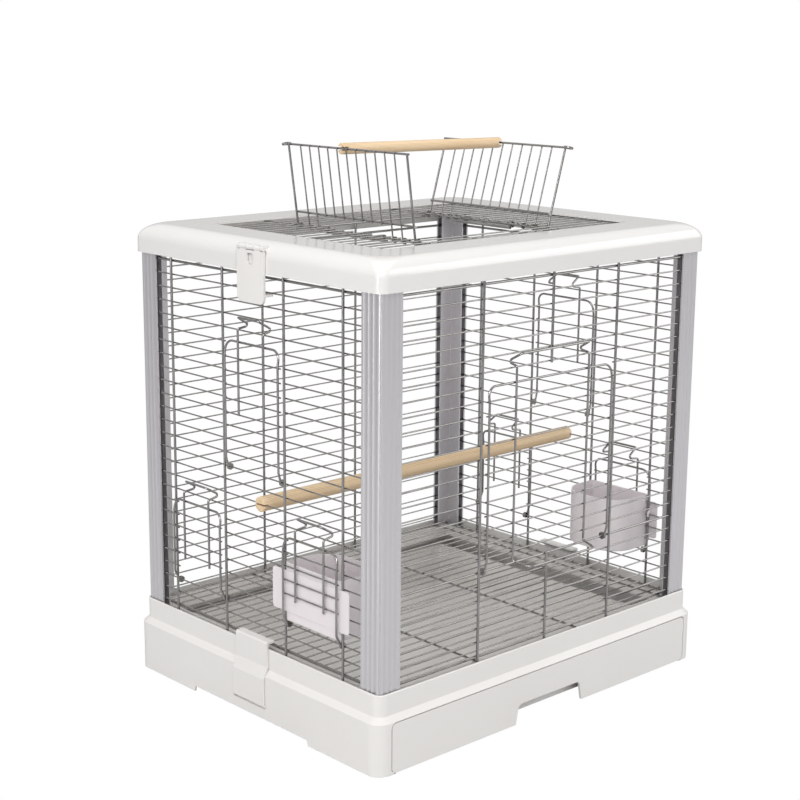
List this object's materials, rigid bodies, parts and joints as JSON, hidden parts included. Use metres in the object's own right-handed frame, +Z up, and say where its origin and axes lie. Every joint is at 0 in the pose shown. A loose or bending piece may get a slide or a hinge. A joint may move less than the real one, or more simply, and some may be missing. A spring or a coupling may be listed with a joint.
{
  "type": "bird cage",
  "caption": "Rectangular wire parrot cage with a litter drawer, drop-down doors, hung feeder cups, perches and a roof hatch whose raised flaps carry a play perch.",
  "frame": {"origin": "centre of the underside of the part's bounding box, on the surface that it stands on", "axes": "-Y out of the front door and drawer, +X to the right seen from the front, +Z up"},
  "size_m": [0.622, 0.5274, 0.7479],
  "materials": {
    "moulding": "satin",
    "roof_moulding": "gloss",
    "cup": "satin",
    "wire": "polished",
    "post": "satin",
    "wood": "natural"
  },
  "bodies": {
    "cage": {"back_panel": "wire", "base_body": "moulding", "cup_left": "cup", "cup_right": "cup", "floor_grate": "wire", "front_panel": "wire", "inner_perch": "wood", "keeper_rod_left": "wire", "keeper_rod_right": "wire", "left_panel": "wire", "post_back_left": "post", "post_back_right": "post", "post_front_left": "post", "post_front_right": "post", "right_panel": "wire", "roof_grille": "wire", "top_frame": "roof_moulding"},
    "drawer": {"drawer": "moulding"},
    "front_door": {"front_door": "wire", "front_door_catch": "wire", "front_door_handle": "wire"},
    "upper_door_left": {"upper_door_left": "wire", "upper_door_catch_left": "wire"},
    "feeder_door_front_left": {"feeder_door_front_left": "wire", "feeder_door_catch_front_left": "wire"},
    "feeder_door_rear_left": {"feeder_door_rear_left": "wire", "feeder_door_catch_rear_left": "wire"},
    "base_clip_left": {"base_clip_left": "moulding"},
    "top_clip_left": {"top_clip_left": "moulding"},
    "flap_left": {"flap_left": "wire"},
    "upper_door_right": {"upper_door_right": "wire", "upper_door_catch_right": "wire"},
    "feeder_door_front_right": {"feeder_door_front_right": "wire", "feeder_door_catch_front_right": "wire"},
    "feeder_door_rear_right": {"feeder_door_rear_right": "wire", "feeder_door_catch_rear_right": "wire"},
    "base_clip_right": {"base_clip_right": "moulding"},
    "top_clip_right": {"top_clip_right": "moulding"},
    "flap_right": {"flap_right": "wire"},
    "top_perch": {"top_perch": "wood"}
  },
  "joints": [
    {"name": "drawer_slide", "type": "slide", "parent": "cage", "child": "drawer", "axis": [0, -1, 0], "range_m": [0, 0.42]},
    {"name": "front_door_hinge", "type": "hinge", "parent": "cage", "child": "front_door", "pos_m": [0, -0.22975, 0.22], "axis": [1, 0, 0], "range_deg": [0, 81]},
    {"name": "upper_door_left_hinge", "type": "hinge", "parent": "cage", "child": "upper_door_left", "pos_m": [-0.2935, 0.00875, 0.331], "axis": [0, -1, 0], "range_deg": [0, 110]},
    {"name": "feeder_door_front_left_hinge", "type": "hinge", "parent": "cage", "child": "feeder_door_front_left", "pos_m": [-0.2935, -0.10965, 0.146], "axis": [0, -1, 0], "range_deg": [0, 105]},
    {"name": "feeder_door_rear_left_hinge", "type": "hinge", "parent": "cage", "child": "feeder_door_rear_left", "pos_m": [-0.2935, 0.12715, 0.146], "axis": [0, -1, 0], "range_deg": [0, 105]},
    {"name": "base_clip_left_hinge", "type": "hinge", "parent": "cage", "child": "base_clip_left", "pos_m": [-0.3094, 0.00775, 0.026], "axis": [0, -1, 0], "range_deg": [0, 70]},
    {"name": "top_clip_left_hinge", "type": "hinge", "parent": "cage", "child": "top_clip_left", "pos_m": [-0.3052, -0.00125, 0.6275], "axis": [0, 1, 0], "range_deg": [0, 100]},
    {"name": "flap_left_hinge", "type": "hinge", "parent": "cage", "child": "flap_left", "pos_m": [-0.1209, 0.00875, 0.62823], "axis": [0, -1, 0], "range_deg": [0, 65]},
    {"name": "upper_door_right_hinge", "type": "hinge", "parent": "cage", "child": "upper_door_right", "pos_m": [0.2935, 0.00875, 0.331], "axis": [0, 1, 0], "range_deg": [0, 110]},
    {"name": "feeder_door_front_right_hinge", "type": "hinge", "parent": "cage", "child": "feeder_door_front_right", "pos_m": [0.2935, -0.10965, 0.146], "axis": [0, 1, 0], "range_deg": [0, 105]},
    {"name": "feeder_door_rear_right_hinge", "type": "hinge", "parent": "cage", "child": "feeder_door_rear_right", "pos_m": [0.2935, 0.12715, 0.146], "axis": [0, 1, 0], "range_deg": [0, 105]},
    {"name": "base_clip_right_hinge", "type": "hinge", "parent": "cage", "child": "base_clip_right", "pos_m": [0.3094, 0.00775, 0.026], "axis": [0, 1, 0], "range_deg": [0, 70]},
    {"name": "top_clip_right_hinge", "type": "hinge", "parent": "cage", "child": "top_clip_right", "pos_m": [0.3052, -0.00125, 0.6275], "axis": [0, -1, 0], "range_deg": [0, 100]},
    {"name": "flap_right_hinge", "type": "hinge", "parent": "cage", "child": "flap_right", "pos_m": [0.1209, 0.00875, 0.62823], "axis": [0, 1, 0], "range_deg": [0, 57]},
    {"name": "top_perch_pivot", "type": "hinge", "parent": "flap_left", "child": "top_perch", "pos_m": [-0.13755, 0.018, 0.7404], "axis": [0, -1, 0], "range_deg": [-65, 0]}
  ],
  "couplings": [
    {"joint": "top_perch_pivot", "follows": "flap_left_hinge", "ratio": -1}
  ]
}
